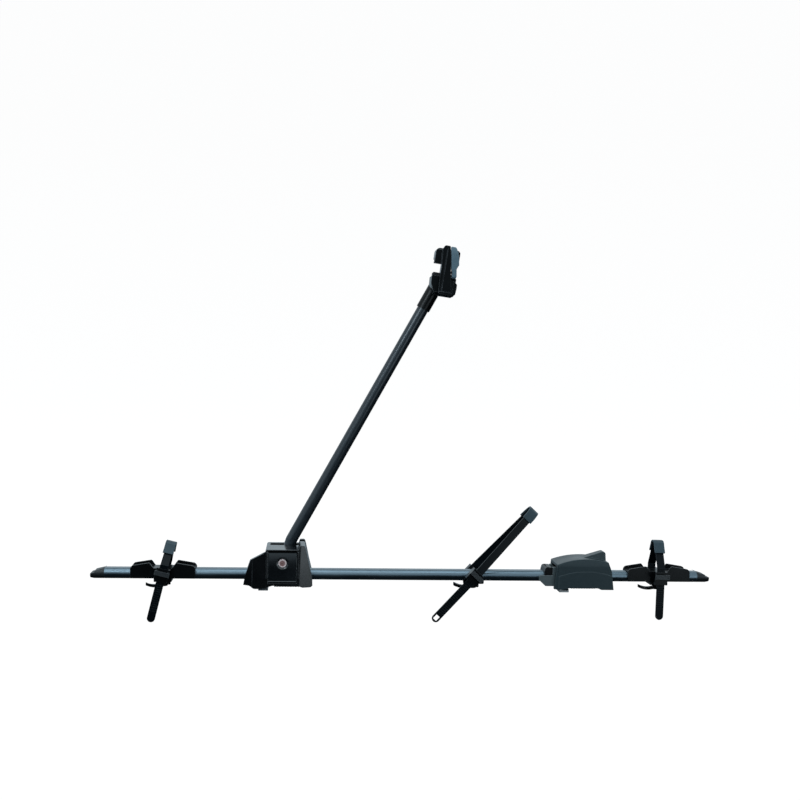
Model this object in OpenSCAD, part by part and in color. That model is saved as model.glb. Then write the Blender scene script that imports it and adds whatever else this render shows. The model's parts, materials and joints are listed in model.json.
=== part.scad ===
// Roof mounted bike carrier: one rail on two roof bars, a folding frame arm and three wheel straps.
// X runs along the rail to the rear of the car, Y across it, Z up. The origin is the middle of the
// front roof bar seat. All sizes are millimetres.

/* [Rail] */
// Length of rail ahead of the front roof bar
rail_ahead = 412; // [405:1:460]
// Length of rail behind the front roof bar
rail_behind = 954; // [948:1:1000]
// Width of the flat oval tube
rail_w = 40; // [38:0.5:40.5]
// Height of the flat oval tube
rail_h = 24; // [22:0.5:25]
// Wall of the tube
rail_wall = 2; // [1.5:0.1:3]
// Space between roof bar and the underside of the rail
rail_lift = 12; // [11.5:0.1:14]
// Length of the front end cap outside the rail
front_cap_len = 31; // [24:1:40]
// Length of the rear end cap outside the rail
rear_cap_len = 28; // [24:1:40]

/* [Feet] */
// Distance between the two roof bars
bar_spacing = 680; // [665:1:684]
// Length of a foot pad along the rail
pad_len = 56; // [40:1:60]
// Thickness of the rubber pad
pad_t = 3; // [2:0.5:4]
// Wall of the moulded housings
shell_wall = 3; // [2.5:0.1:3.5]
// Length of the front housing ahead of its bar
front_reach = 98.5; // [96:0.5:108]
// Length of the front housing behind its bar
front_tail = 58.5; // [56:0.5:66]
// Height of the front housing
front_h = 85; // [83:0.5:88]
// Height of the ridge on the front housing
ridge_h = 94; // [92:0.5:100]
// Half width of the housings on the near side
near_w = 46; // [46:0.5:48]
// Room between the arm's pivot nut and the front housing
arm_room = 5.1; // [2:0.1:10]
// Height of the rear cover at its fin
fin_h = 83; // [80:0.5:90]
// Length of the rear cover ahead of its bar
rear_reach = 67; // [65:0.5:72]
// Length of the rear cover behind its bar
rear_tail = 70.5; // [68:0.5:76]

/* [Bar clamps] */
// Drop of the claw's toe below the bar seat when wound up
toe_drop = 9.5; // [8:0.5:14]
// Length of the claw's toe
toe_len = 18; // [12:1:22]
// Thickness of the claw's steel
claw_t = 4; // [3:0.5:4.5]
// Diameter of the clamp bolt
clamp_bolt_d = 6; // [5:0.5:7]
// Diameter of the clamp knob
clamp_knob_d = 20; // [18:0.5:20.5]

/* [Arm] */
// Outside diameter of the arm tube
arm_d = 27; // [24:0.5:27]
// Wall of the arm tube
arm_wall = 1.5; // [1:0.1:2.5]
// Distance of the arm from the rail's middle
arm_y = 48; // [47.5:0.1:49]
// Height of the arm's pivot
arm_pivot_z = 50; // [48:0.5:54]
// Slope of the short lower stretch of the arm
arm_root_slope = 72.5; // [70:0.1:78]
// Length of the short lower stretch
arm_root_len = 47.6; // [46:0.1:56]
// Slope of the long stretch of the arm
arm_slope = 61.3; // [58:0.1:64]
// Length of the long stretch, from the bend to the head's pivot
arm_len = 687; // [600:0.1:700]
// Diameter of the arm's pivot bolt
arm_bolt_d = 10; // [8:0.5:11]

/* [Clamp head] */
// Diameter of the round tube that the jaws hold
held_d = 32; // [28:0.5:33]
// Slope of the held tube
head_tilt = 8; // [5:0.5:12]
// Length of the jaws along the tube
jaw_len = 56; // [52:1:62]
// Length of the near slab along the tube
slab_len = 26; // [22:1:26]
// Thickness of the near slab
slab_t = 15; // [12:0.5:16]
// Height of the jaws above the tube's middle
jaw_rise = 45; // [43:0.5:48]
// Depth of the jaws below the tube's middle
jaw_drop = 62; // [60:0.5:66]
// Diameter of the hook's hinge pin
hook_pin_d = 6; // [5:0.5:7]
// Length of the clamp lever above its pin
lever_len = 66; // [58:1:67]

/* [Wheel straps] */
// Length of a wheel cradle
cradle_len = 146; // [136:1:150]
// Height of a cradle's wings above the rail
wing_rise = 14; // [11:0.5:20]
// Thickness of the cradle walls
cradle_wall = 5; // [4:0.5:5.5]
// Width of a ladder strap
strap_w = 18; // [14:0.5:19]
// Thickness of a ladder strap
strap_t = 4; // [3:0.5:4.5]
// Distance of the strap legs from the rail's middle
strap_leg = 42; // [41.5:0.1:44]
// Width of the pad over the top of a strap
rim_pad_w = 24; // [22:1:30]
// Space between the front housing and the front cradle
front_strap_gap = 108.5; // [95:0.5:112]
// Lean of the front strap
front_lean = 13.4; // [8:0.1:18]
// Rise of the front strap over the rail's middle
front_rise = 68; // [62:1:90]
// Tail of the front strap below the rail's middle
front_tail_len = 108; // [70:1:115]
// Place of the middle strap along the rail
middle_strap_x = 428; // [415:1:440]
// Lean of the middle strap
middle_lean = 43; // [36:0.1:45]
// Rise of the middle strap over the rail's middle
middle_rise = 202; // [170:1:206]
// Tail of the middle strap below the rail's middle
middle_tail_len = 137; // [120:1:155]
// Space between the rear cover and the rear cradle
rear_strap_gap = 37.5; // [30:0.5:46]
// Lean of the rear strap
rear_lean = 1.2; // [-6:0.1:4]
// Rise of the rear strap over the rail's middle
rear_rise = 78; // [66:1:92]
// Tail of the rear strap below the rail's middle
rear_tail_len = 95; // [70:1:104]
// Length of a clamp key's long arm
key_len = 44; // [30:1:44]
// Turn of the front clamp key
front_key_turn = 32; // [0:1:40]
// Turn of the middle clamp key
middle_key_turn = -12; // [-40:1:40]
// Turn of the rear clamp key
rear_key_turn = 5; // [-40:1:40]

/* [Hidden] */
$fn = 64;
// Radial clearance of a pin that turns in its bore
run_fit = 0.05;
// Clearance between moulded pieces that slide or sit in each other
seat_fit = 0.3;
// Room beyond a face for a clean cut
over = 1;

rail_z = rail_lift + rail_h / 2;
rail_top = rail_lift + rail_h;
rail_half = rail_w / 2;

base_t = 5;
base_z = pad_t + base_t;
near_in = near_w - shell_wall;
boss_r = 6;
screw_r = 2;
foot_screw_len = 22;
skirt_drop = 4.5;

claw_back = 36;
claw_x = -pad_len / 2 - claw_back;
rear_claw_x = claw_x + 10;
claw_leg_in = rail_half + 4;
claw_leg_w = 12;
claw_base_top = 6;
claw_leg_out = claw_leg_in + claw_leg_w;
claw_top = rail_top + 4;
bolt_x = -28;
bolt_y = -(claw_leg_in + claw_leg_out) / 2;
shelf_z = claw_top + 1.5;
shelf_t = 4;
knob_z = shelf_z + shelf_t + seat_fit;
knob_h = 12;

arm_pivot_x = -6;
arm_r = arm_d / 2;
eye_r = 13;
eye_half = 13.5;
ear_gap = 0.4;
ear_t = 3;
ear_out = eye_half + ear_gap + ear_t;
nut_h = 7;
arm_side_w = arm_y + ear_out + nut_h + arm_room + shell_wall;
bush_wall = 2;
bend_x = arm_pivot_x + arm_root_len * cos(arm_root_slope);
bend_z = arm_pivot_z + arm_root_len * sin(arm_root_slope);
head_pivot_x = bend_x + arm_len * cos(arm_slope);
head_pivot_z = bend_z + arm_len * sin(arm_slope);

held_r = held_d / 2;
pivot_t = -7.2;
pivot_n = -32;
held_x = head_pivot_x - pivot_t * cos(head_tilt) - pivot_n * sin(head_tilt);
held_z = head_pivot_z + pivot_t * sin(head_tilt) - pivot_n * cos(head_tilt);
pad_face = held_r - 5;
pad_back = held_r + 3;
far_wall_in = held_r + 1;
far_wall_out = arm_y - 18.5;
knuckle_y = (far_wall_in + far_wall_out) / 2;
knuckle_n = jaw_rise - 14;
knuckle_r = 7;
near_face = held_r + 10;
slab_x0 = -slab_len / 2;
slab_x1 = slab_len / 2;
lever_y = -(near_face + slab_t - 6);
lever_n = -16;
lever_r = 6;
lever_pin_r = 2.5;
wall_x0 = -8;
wall_x1 = 14;
knuckle_len = 6;

front_strap_x = -front_reach - front_strap_gap - cradle_len / 2;
rear_strap_x = bar_spacing + rear_tail + rear_strap_gap + cradle_len / 2;
saddle_half = 24;
trunnion_r = 7;
trunnion_len = 7;
cradle_out = rail_half + seat_fit + cradle_wall;
buckle_half = strap_w / 2 + 6;
buckle_up = 16;
buckle_down = 14;
pawl_y = -(strap_leg + strap_t / 2 + 6.5);
pawl_s = 6;
pawl_r = 3;
pawl_pin_r = 2;

// Left-hand normal of the step from a to b
function side(a, b) = [a.y - b.y, b.x - a.x] / norm(b - a);
// Offset of a corner between two steps with unit normals
function mitre(n0, n1) = (n0 + n1) / (1 + n0 * n1);
// Closed outline, counted anticlockwise, moved inwards by d
function inset(loop, d) = let (n = len(loop)) [
    for (i = [0 : n - 1])
        loop[i] + d * mitre(side(loop[(i + n - 1) % n], loop[i]), side(loop[i], loop[(i + 1) % n]))
];
// Open path moved to its left by d
function shifted(path, d) = let (last = len(path) - 2) [
    for (i = [0 : last + 1])
        let (a = max(i - 1, 0), b = min(i, last))
        path[i] + d * mitre(side(path[a], path[a + 1]), side(path[b], path[b + 1]))
];
function reversed(list) = [for (i = [len(list) - 1 : -1 : 0]) list[i]];
// Outline of a band that runs along a path, from d0 to d1 on its left
function band(path, d0, d1) = concat(shifted(path, d0), reversed(shifted(path, d1)));

// Begin, end and centre of the round that fits corner b between a and c
function round_fit(a, b, c, r) = let (
    u = (a - b) / norm(a - b), v = (c - b) / norm(c - b), half = acos(u * v) / 2
) [b + u * r / tan(half), b + v * r / tan(half), b + (u + v) / norm(u + v) * r / sin(half)];
function flat(corners) = [for (p = corners) [p.x, p.y]];

// Outline of [x, y, radius] corners, counted anticlockwise; a corner bulges or is filled by its own radius
module rounded(corners) {
    loop = flat(corners);
    n = len(loop);
    function before(i) = loop[(i + n - 1) % n];
    function after(i) = loop[(i + 1) % n];
    fits = [for (i = [0 : n - 1]) round_fit(before(i), loop[i], after(i), corners[i].z)];
    tips = [for (i = [0 : n - 1]) loop[i] + (loop[i] - fits[i][2]) / max(norm(loop[i] - fits[i][2]), over)];
    turns = [for (i = [0 : n - 1]) cross(loop[i] - before(i), after(i) - loop[i])];
    bulging = [for (i = [0 : n - 1]) if (corners[i].z > 0 && turns[i] > 0) i];
    filled = [for (i = [0 : n - 1]) if (corners[i].z > 0 && turns[i] < 0) i];
    module sliver(i) {
        difference() {
            polygon([fits[i][0], tips[i], fits[i][1]]);
            translate(fits[i][2]) circle(corners[i].z + 0.02);
        }
    }
    difference() {
        union() {
            polygon(loop);
            for (i = filled) sliver(i);
        }
        for (i = bulging) sliver(i);
    }
}

// Side outline (X, Z) pushed across the rail from y0 to y1
module across(y0, y1) {
    translate([0, y1, 0]) rotate([90, 0, 0]) linear_extrude(y1 - y0) children();
}

// End outline (Y, Z) pushed along the rail from x0 to x1
module along(x0, x1) {
    translate([x0, 0, 0]) rotate([90, 0, 90]) linear_extrude(x1 - x0) children();
}

// Plan outline (X, Y) pushed upwards from z0 to z1
module upwards(z0, z1) {
    translate([0, 0, z0]) linear_extrude(z1 - z0) children();
}

// Plate between two corners
module block(low, high) {
    translate(low) cube(high - low);
}

// Round bar along Y
module bar_y(x, z, y0, y1, r) {
    translate([x, y1, z]) rotate([90, 0, 0]) cylinder(h = y1 - y0, r = r);
}

// Round bar along X
module bar_x(y, z, x0, x1, r) {
    translate([x0, y, z]) rotate([0, 90, 0]) cylinder(h = x1 - x0, r = r);
}

// Round bar along Z
module bar_z(x, y, z0, z1, r) {
    translate([x, y, z0]) cylinder(h = z1 - z0, r = r);
}

// Flat oval of the rail, grown by d all round
module rail_oval(d = 0) {
    r = rail_h / 2 + d;
    shift = (rail_w - rail_h) / 2;
    translate([0, rail_z]) {
        translate([-shift, -r]) square([2 * shift, 2 * r]);
        for (s = [-1, 1]) translate([s * shift, 0]) circle(r);
    }
}

// Way for the rail through an end wall, open downwards so that the housing drops over it
module rail_way(x0, x1) {
    along(x0, x1) {
        rail_oval(seat_fit);
        translate([-rail_half - seat_fit, -skirt_drop - over])
            square([rail_w + 2 * seat_fit, rail_z + skirt_drop + over]);
    }
}

// Open bed that the rail lies in
module rail_bed() {
    rail_oval(seat_fit);
    translate([-rail_half - seat_fit, rail_z]) square([rail_w + 2 * seat_fit, rail_h]);
}

module rail() {
    color("slategray") along(-rail_ahead, rail_behind) difference() {
        rail_oval();
        rail_oval(-rail_wall);
    }
}

// Sloped plug for a rail end; it points along +X from the end of the rail at x = 0
module end_cap(out) {
    plug_len = 24;
    nub = 9;
    slope = 6;
    step = 3.5;
    foot = rail_lift;
    intersection() {
        along(0, out) rail_oval();
        across(-rail_half, rail_half) polygon([
            [0, foot], [out - nub, foot], [out, foot + 3], [out, rail_top - slope - step - 2],
            [out - nub, rail_top - slope - step], [out - nub, rail_top - slope], [0, rail_top]
        ]);
    }
    along(-plug_len, 0) difference() {
        rail_oval(-rail_wall - 0.1);
        rail_oval(-rail_wall - 2.5);
    }
}

module front_end_cap() {
    color("#17181a") translate([-rail_ahead, 0, 0]) mirror([1, 0, 0]) end_cap(front_cap_len);
}

module rear_end_cap() {
    color("#17181a") translate([rail_behind, 0, 0]) end_cap(rear_cap_len);
}

// Front housing

step_x = -49;
step_z = front_h - 6;
flank_x = -front_reach + 16.5;
flank_z = 61.5;
flank_fall = 7;
bar_gap = 3;
ridge_x = front_tail - 33;
arm_slot_half = 16;
arm_slot_x = -40;
arm_slot_z = 62.5;

// Side outline, with the round of each corner
front_outline = [
    [-front_reach, 2, 0], [-front_reach + 14.5, 2, 10], [-front_reach + 24.5, -skirt_drop, 10],
    [-front_reach + 40.5, -skirt_drop, 14], [-32, bar_gap, 20], [front_tail - 34.5, bar_gap, 12],
    [front_tail - 22.5, -1.3, 8], [front_tail - 4.5, -1.3, 0], [front_tail, 2, 0], [front_tail - 1, 22, 10],
    [front_tail - 8.5, 50, 20], [front_tail - 16, front_h - 1, 0], [front_tail - 19, ridge_h, 4],
    [ridge_x + 2.5, ridge_h, 3], [ridge_x, front_h, 2], [step_x, front_h, 5], [step_x, step_z, 0],
    [flank_x, flank_z, 10], [-front_reach + 4, 24, 10]
];
front_section = [
    [-near_w, -skirt_drop - over], [arm_side_w, -skirt_drop - over], [arm_side_w, front_h - 8],
    [arm_side_w - 3, ridge_h + over], [-near_w + 2, ridge_h + over], [-near_w, front_h - 2]
];
front_hollow = inset(front_section, shell_wall);
front_plan = [
    [-front_reach - over, -near_w + 16.8], [-front_reach + 21.8, -near_w - over],
    [front_tail - 32.5, -near_w - over], [front_tail + over, -near_w + 10.3],
    [front_tail + over, arm_side_w - 12], [front_tail - 12, arm_side_w + over],
    [-front_reach + 12, arm_side_w + over], [-front_reach - over, arm_side_w - 14]
];

door_x0 = -42;
door_x1 = ridge_x - 3.5;
door_z0 = 12;
door_z1 = front_h - 3;
door_gap = 0.5;
door_depth = 8;
hinge_y = -near_w + 2;
hinge_r = 2.5;
hinge_room = 1.2;
door_pin_r = 1.25;
lug_len = 6;
bead_r = 1.3;
lock_x = -10;
lock_z = 54;
lock_r = 6.3;
lock_ring_r = 9.2;
dish_r = 14;
dish_d = 1.8;

// Room above the flank ahead of the tower, which falls towards the far side, grown by d
module above_flank(d) {
    slope = (step_z - flank_z) / (step_x - flank_x);
    x0 = -front_reach - 20;
    x1 = step_x + 0.4 + d;
    translate([0, -near_w, -d]) rotate([-flank_fall, 0, 0]) across(-20, near_w + arm_side_w + 20) polygon([
        [x0, step_z + slope * (x0 - step_x)], [x1, step_z + slope * (x1 - step_x)], [x1, 2 * ridge_h],
        [x0, 2 * ridge_h]
    ]);
}

// Solid envelope of the front housing
module front_envelope() {
    difference() {
        intersection() {
            across(-near_w - over, arm_side_w + over) rounded(front_outline);
            along(-front_reach - over, front_tail + over) polygon(front_section);
            upwards(-skirt_drop - over, ridge_h + over) polygon(front_plan);
        }
        above_flank(0);
    }
}

// Room inside the front housing
module front_room() {
    difference() {
        intersection() {
            across(-near_w - over, arm_side_w + over) polygon(inset(flat(front_outline), shell_wall));
            along(-front_reach - over, front_tail + over) polygon(front_hollow);
            upwards(-skirt_drop - over, ridge_h + over) polygon(inset(front_plan, shell_wall));
        }
        above_flank(shell_wall);
    }
    intersection() {
        block([-front_reach + 2 * shell_wall, -near_in, -skirt_drop - over],
              [front_tail - shell_wall, arm_side_w - shell_wall, base_z + seat_fit]);
        upwards(-skirt_drop - 2 * over, base_z + over) polygon(inset(front_plan, shell_wall));
    }
}

// Door outline, grown by d
module door_outline(d = 0) {
    translate([door_x0 - d, door_z0 - d]) square([door_x1 - door_x0 + 2 * d, door_z1 - door_z0 + 2 * d]);
}

front_boss_at = [
    [-front_reach + 23.5, -near_in + 5.5], [front_tail - 13.5, -near_in + 10],
    [-front_reach + 23.5, arm_side_w - shell_wall - 5], [front_tail - 13.5, arm_side_w - shell_wall - 5]
];

module front_bosses(r, z0, z1) {
    for (p = front_boss_at) bar_z(p.x, p.y, z0, z1, r);
}

module front_foot_shell() {
    color("#1b1c1d") difference() {
        union() {
            difference() {
                front_envelope();
                front_room();
                block([arm_slot_x, arm_y - arm_slot_half, arm_slot_z],
                      [front_tail + over, arm_y + arm_slot_half, ridge_h + over]);
                across(-near_w - over, -near_in + door_depth) door_outline(door_gap);
                bar_x(hinge_y, door_z0, door_x0 - door_gap, door_x1 + door_gap, hinge_r + hinge_room);
                rail_way(-front_reach - over, front_tail + over);
            }
            front_bosses(boss_r, base_z + seat_fit, 30);
            for (x = [door_x0 - door_gap - lug_len, door_x1 + door_gap])
                block([x, -near_in - shell_wall / 2, door_z0 - 4],
                      [x + lug_len, -near_in + 2.5, door_z0 + 4]);
            for (x = [door_x0 - 3.5, door_x1 + 3.5])
                bar_z(x, -near_w + 0.5, door_z0 + 8, door_z1 - 2, bead_r);
        }
        front_bosses(screw_r, 0, foot_screw_len + pad_t);
        bar_x(hinge_y, door_z0, door_x0 - lug_len - over, door_x1 + lug_len + over, door_pin_r);
    }
}

module front_access_door() {
    color("#202224") difference() {
        union() {
            intersection() {
                difference() {
                    front_envelope();
                    along(door_x0 - over, door_x1 + over) polygon(front_hollow);
                }
                across(-near_w - over, -near_in + door_depth) door_outline();
            }
            bar_x(hinge_y, door_z0, door_x0, door_x1, hinge_r);
            bar_y(lock_x, lock_z, -near_in - 0.5, -near_in + 3, lock_ring_r + 3);
        }
        translate([lock_x, -near_w + dish_d, lock_z]) rotate([90, 0, 0])
            cylinder(h = 2 * dish_d, r1 = lock_ring_r + 1, r2 = 2 * dish_r - lock_ring_r - 1);
        bar_y(lock_x, lock_z, -near_w - over, -near_in + 4, lock_ring_r + 0.1);
        bar_x(hinge_y, door_z0, door_x0 - over, door_x1 + over, door_pin_r + run_fit);
    }
}

module front_door_pin() {
    color("silver") bar_x(hinge_y, door_z0, door_x0 - lug_len + over, door_x1 + lug_len - over, door_pin_r);
}

module front_lock_ring() {
    color("#a08d84") difference() {
        bar_y(lock_x, lock_z, -near_w + 0.4, -near_in + 3, lock_ring_r);
        bar_y(lock_x, lock_z, -near_w - over, -near_in + 4, lock_r + run_fit);
    }
}

module front_lock_plug() {
    slot_len = 6;
    slot_w = 1.2;
    cam_len = 11;
    color("#b79c90") {
        difference() {
            bar_y(lock_x, lock_z, -near_w + 0.8, -near_in + 4, lock_r);
            block([lock_x - slot_len / 2, -near_w - over, lock_z - slot_w / 2],
                  [lock_x + slot_len / 2, -near_w + 4, lock_z + slot_w / 2]);
        }
        block([lock_x - 3, -near_in + 4, lock_z - cam_len], [lock_x + 3, -near_in + 6, lock_z + 3]);
    }
}

// Room that the claw needs in a foot's base
module claw_room(x) {
    gap = 0.6;
    x0 = x - gap;
    x1 = x + claw_t + gap;
    block([x0, -claw_leg_out - gap, -toe_drop], [x1, claw_leg_out + gap, claw_base_top + gap]);
    for (y = [-claw_leg_out - gap, claw_leg_in - gap])
        block([x0, y, 0], [x1, y + claw_leg_w + 2 * gap, claw_top + over]);
    block([x0, -claw_leg_out - gap, base_z], [bolt_x + 8 + gap, -claw_leg_in + gap, claw_top + over]);
}

// Under part of a foot: base plate, rail bed, knob shelf and cut-outs for the claw and its bolt
module foot_base(x0, x1, y0, y1, bed_x0, claw) {
    bed_wall = 3;
    bed_x1 = 44;
    difference() {
        union() {
            block([x0, y0, pad_t], [x1, y1, base_z]);
            block([bed_x0, -rail_half - bed_wall, base_z], [bed_x1, rail_half + bed_wall, rail_z]);
            block([bolt_x + 9, bolt_y - 8, base_z], [bolt_x + 13, bolt_y + 8, shelf_z + shelf_t]);
            block([bolt_x - 8, bolt_y - 8, shelf_z], [bolt_x + 13, bolt_y + 8, shelf_z + shelf_t]);
        }
        along(min(x0, bed_x0) - over, x1 + over) rail_bed();
        claw_room(claw);
        bar_z(bolt_x, bolt_y, 0, shelf_z + shelf_t + over, clamp_bolt_d / 2 + run_fit);
    }
}

module front_saddle() {
    color("#9aa39b") difference() {
        intersection() {
            foot_base(-front_reach + 2 * shell_wall + seat_fit, front_tail - shell_wall - seat_fit,
                      -near_in + seat_fit, arm_side_w - shell_wall - seat_fit, claw_x - 20, claw_x);
            upwards(0, shelf_z + shelf_t + over) polygon(inset(front_plan, shell_wall + seat_fit));
        }
        front_bosses(screw_r + 0.3, 0, base_z + over);
    }
}

// Rubber pad that stands on the roof bar
module bar_pad() {
    block([-pad_len / 2, -near_in + 2, 0], [pad_len / 2, near_in - 2, pad_t]);
}

module front_bar_pad() {
    color("#0e0e0e") bar_pad();
}

// One screw from below: flat head under the base plate, shank up into the boss
module foot_screw(x, y) {
    bar_z(x, y, pad_t - 2, pad_t, 2 * screw_r);
    bar_z(x, y, pad_t, pad_t + foot_screw_len - 2, screw_r - run_fit);
}

module front_foot_screws() {
    color("silver") for (p = front_boss_at) foot_screw(p.x, p.y);
}

// Steel claw: a stirrup under the rail with a toe for the roof bar and a nut tab on the near leg
module bar_claw(x) {
    lip = 3;
    difference() {
        union() {
            along(x, x + claw_t) {
                translate([-claw_leg_out, -toe_drop]) square([2 * claw_leg_out, toe_drop + claw_base_top]);
                for (y = [-claw_leg_out, claw_leg_in])
                    translate([y, 0]) square([claw_leg_w, claw_top]);
            }
            across(-claw_leg_out, claw_leg_out) polygon([
                [x + claw_t / 2, -toe_drop], [x + claw_t + toe_len, -toe_drop],
                [x + claw_t + toe_len, -toe_drop + claw_t + lip],
                [x + claw_t + toe_len - 3, -toe_drop + claw_t],
                [x + claw_t / 2, -toe_drop + claw_t]
            ]);
            block([x + claw_t / 2, -claw_leg_out, claw_top - claw_t],
                  [bolt_x + 8, -claw_leg_in, claw_top]);
        }
        bar_z(bolt_x, bolt_y, claw_top - claw_t - over, claw_top + over, clamp_bolt_d / 2 + run_fit);
    }
}

module front_claw() {
    color("#b9bcbd") bar_claw(claw_x);
}

module clamp_bolt() {
    bar_z(bolt_x, bolt_y, pad_t + 0.5, knob_z + knob_h - 3, clamp_bolt_d / 2);
}

module front_clamp_bolt() {
    color("silver") clamp_bolt();
}

// Fluted knob round the head of the clamp bolt
module clamp_knob() {
    flutes = 10;
    flute_r = 2.5;
    translate([bolt_x, bolt_y, knob_z]) difference() {
        cylinder(h = knob_h, r = clamp_knob_d / 2);
        for (i = [0 : flutes - 1]) rotate(360 / flutes * i) translate([clamp_knob_d / 2 + 1, 0, -over])
            cylinder(h = knob_h + 2 * over, r = flute_r);
        translate([0, 0, -over]) cylinder(h = knob_h - 2 + over, r = clamp_bolt_d / 2 + 0.02);
    }
}

module front_clamp_knob() {
    color("#26282a") clamp_knob();
}

// Frame arm

module arm_bracket() {
    half = eye_r + 9;
    color("#8d9194") difference() {
        union() {
            block([arm_pivot_x - half, arm_y - ear_out, base_z],
                  [arm_pivot_x + half, arm_y + ear_out, base_z + ear_t]);
            for (y = [arm_y - ear_out, arm_y + ear_out - ear_t]) {
                across(y, y + ear_t) polygon([
                    [arm_pivot_x - half, base_z], [arm_pivot_x + half, base_z],
                    [arm_pivot_x + eye_r, arm_pivot_z], [arm_pivot_x - eye_r, arm_pivot_z]
                ]);
                bar_y(arm_pivot_x, arm_pivot_z, y, y + ear_t, eye_r);
            }
        }
        bar_y(arm_pivot_x, arm_pivot_z, arm_y - ear_out - over, arm_y + ear_out + over,
              arm_bolt_d / 2 + run_fit);
    }
}

module arm_pivot_bolt() {
    color("silver") {
        bar_y(arm_pivot_x, arm_pivot_z, arm_y - ear_out, arm_y + ear_out, arm_bolt_d / 2);
        for (y = [arm_y - ear_out - nut_h, arm_y + ear_out])
            translate([arm_pivot_x, y + nut_h, arm_pivot_z]) rotate([90, 0, 0])
                cylinder(h = nut_h, r = arm_bolt_d * 0.9, $fn = 6);
    }
}

module arm_bushes() {
    flange = 1.2;
    sleeve = eye_half - 2;
    color("#d8d4c6") for (s = [-1, 1]) translate([0, arm_y, 0]) mirror([0, s < 0 ? 1 : 0, 0]) difference() {
        union() {
            bar_y(arm_pivot_x, arm_pivot_z, 1, sleeve, arm_bolt_d / 2 + bush_wall);
            bar_y(arm_pivot_x, arm_pivot_z, sleeve, sleeve + flange, arm_bolt_d / 2 + bush_wall + 3);
        }
        bar_y(arm_pivot_x, arm_pivot_z, 0, eye_half, arm_bolt_d / 2 + run_fit);
    }
}

// Round bar that leaves the arm's pivot along the lower stretch, from a to b
module root_bar(a, b, r) {
    translate([arm_pivot_x, arm_y, arm_pivot_z]) rotate([0, 90 - arm_root_slope, 0])
        translate([0, 0, a]) cylinder(h = b - a, r = r);
}

// Round bar along the long stretch, from a to b beyond the bend
module arm_bar(a, b, r) {
    translate([bend_x, arm_y, bend_z]) rotate([0, 90 - arm_slope, 0])
        translate([0, 0, a]) cylinder(h = b - a, r = r);
}

root_plug = 40;
tube_from = 17;
tube_gap = 24;

module arm_root() {
    flange_seat = eye_half - 2;
    color("#2a2d33") difference() {
        union() {
            bar_y(arm_pivot_x, arm_pivot_z, arm_y - eye_half, arm_y + eye_half, eye_r);
            root_bar(0, root_plug, arm_r - arm_wall - 0.1);
        }
        bar_y(arm_pivot_x, arm_pivot_z, arm_y - eye_half - over, arm_y + eye_half + over,
              arm_bolt_d / 2 + bush_wall + 0.05);
        for (y = [arm_y - eye_half - over, arm_y + flange_seat - 0.05])
            bar_y(arm_pivot_x, arm_pivot_z, y, y + eye_half - flange_seat + over + 0.05,
                  arm_bolt_d / 2 + bush_wall + 3.1);
    }
}

module arm_tube() {
    color("#23262d") difference() {
        union() {
            root_bar(tube_from, arm_root_len, arm_r);
            translate([bend_x, arm_y, bend_z]) sphere(arm_r);
            arm_bar(0, arm_len - tube_gap, arm_r);
        }
        root_bar(tube_from - over, arm_root_len, arm_r - arm_wall);
        translate([bend_x, arm_y, bend_z]) sphere(arm_r - arm_wall);
        arm_bar(0, arm_len - tube_gap + over, arm_r - arm_wall);
    }
}

collar_len = 44;
collar_wall = 2.8;
collar_eye_r = 16;
collar_half = 12;

module arm_collar() {
    plug = 20;
    color("#141517") difference() {
        union() {
            arm_bar(arm_len - tube_gap - collar_len, arm_len, arm_r + collar_wall);
            bar_y(head_pivot_x, head_pivot_z, arm_y - collar_half - 6, arm_y + collar_half, collar_eye_r);
        }
        difference() {
            arm_bar(arm_len - tube_gap - collar_len - over, arm_len - tube_gap + 0.1, arm_r + 0.1);
            arm_bar(arm_len - tube_gap - plug, arm_len, arm_r - arm_wall - 0.1);
        }
        bar_y(head_pivot_x, head_pivot_z, arm_y - eye_r - 20, arm_y + eye_r + 20, arm_bolt_d / 2 + run_fit);
        bar_y(head_pivot_x, head_pivot_z, arm_y + collar_half - 5, arm_y + eye_r + 20, arm_bolt_d + 1);
    }
}

// Clamp head. Inside this frame x runs along the held tube, y across the rail and z square to both.
module head_frame() {
    translate([held_x, 0, held_z]) rotate([0, head_tilt, 0]) children();
}

// Side outline of the near slab and of the lever beside it, seen along Y
slab_bottom = -jaw_drop + 2;
slab_top = jaw_rise + 6;
lever_tip = lever_n + lever_len;
slab_outline = [
    [slab_x0 + 3.5, slab_bottom, 3], [slab_x1 + 7.5, slab_bottom, 2], [slab_x1 + 8, slab_bottom + 3, 0],
    [slab_x1, lever_n, 30], [slab_x1 - 4.6, 15, 40], [slab_x1 - 10.8, slab_top, 3],
    [slab_x0 + 3, slab_top, 5], [slab_x0 - 1.4, slab_top - 9, 6],
    [slab_x0 + 1.3, 0, 40], [slab_x0 + 1.3, -22, 40]
];
lever_outline = [
    [slab_x1 + 2.2, lever_n - 6.3, 0], [jaw_len / 2 - 4.2, lever_n - 6.3, 1.5],
    [jaw_len / 2 - 1.7, lever_n, 3], [jaw_len / 2 - 4.5, 1, 0],
    [jaw_len / 2 - 0.1, 11, 4], [jaw_len / 2 - 4.4, lever_tip - 17, 20],
    [jaw_len / 2 - 10.7, lever_tip - 3, 2], [jaw_len / 2 - 13.5, lever_tip, 0], [slab_x1 - 9.6, lever_tip, 2],
    [slab_x1 - 3.4, 15, 0], [slab_x1 - 1.4, 0, 0], [slab_x1 + 2.2, lever_n + 8, 0]
];
foot_outline = [
    [slab_x1 + 9.5, -jaw_drop, 2], [jaw_len / 2 + 1.6, -jaw_drop + 5.3, 3],
    [jaw_len / 2 + 2.9, -jaw_drop + 19, 3], [jaw_len / 2 + 2.5, lever_n - 17, 3],
    [slab_x1 + 6.8, lever_n - 8.5, 2]
];

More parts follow.
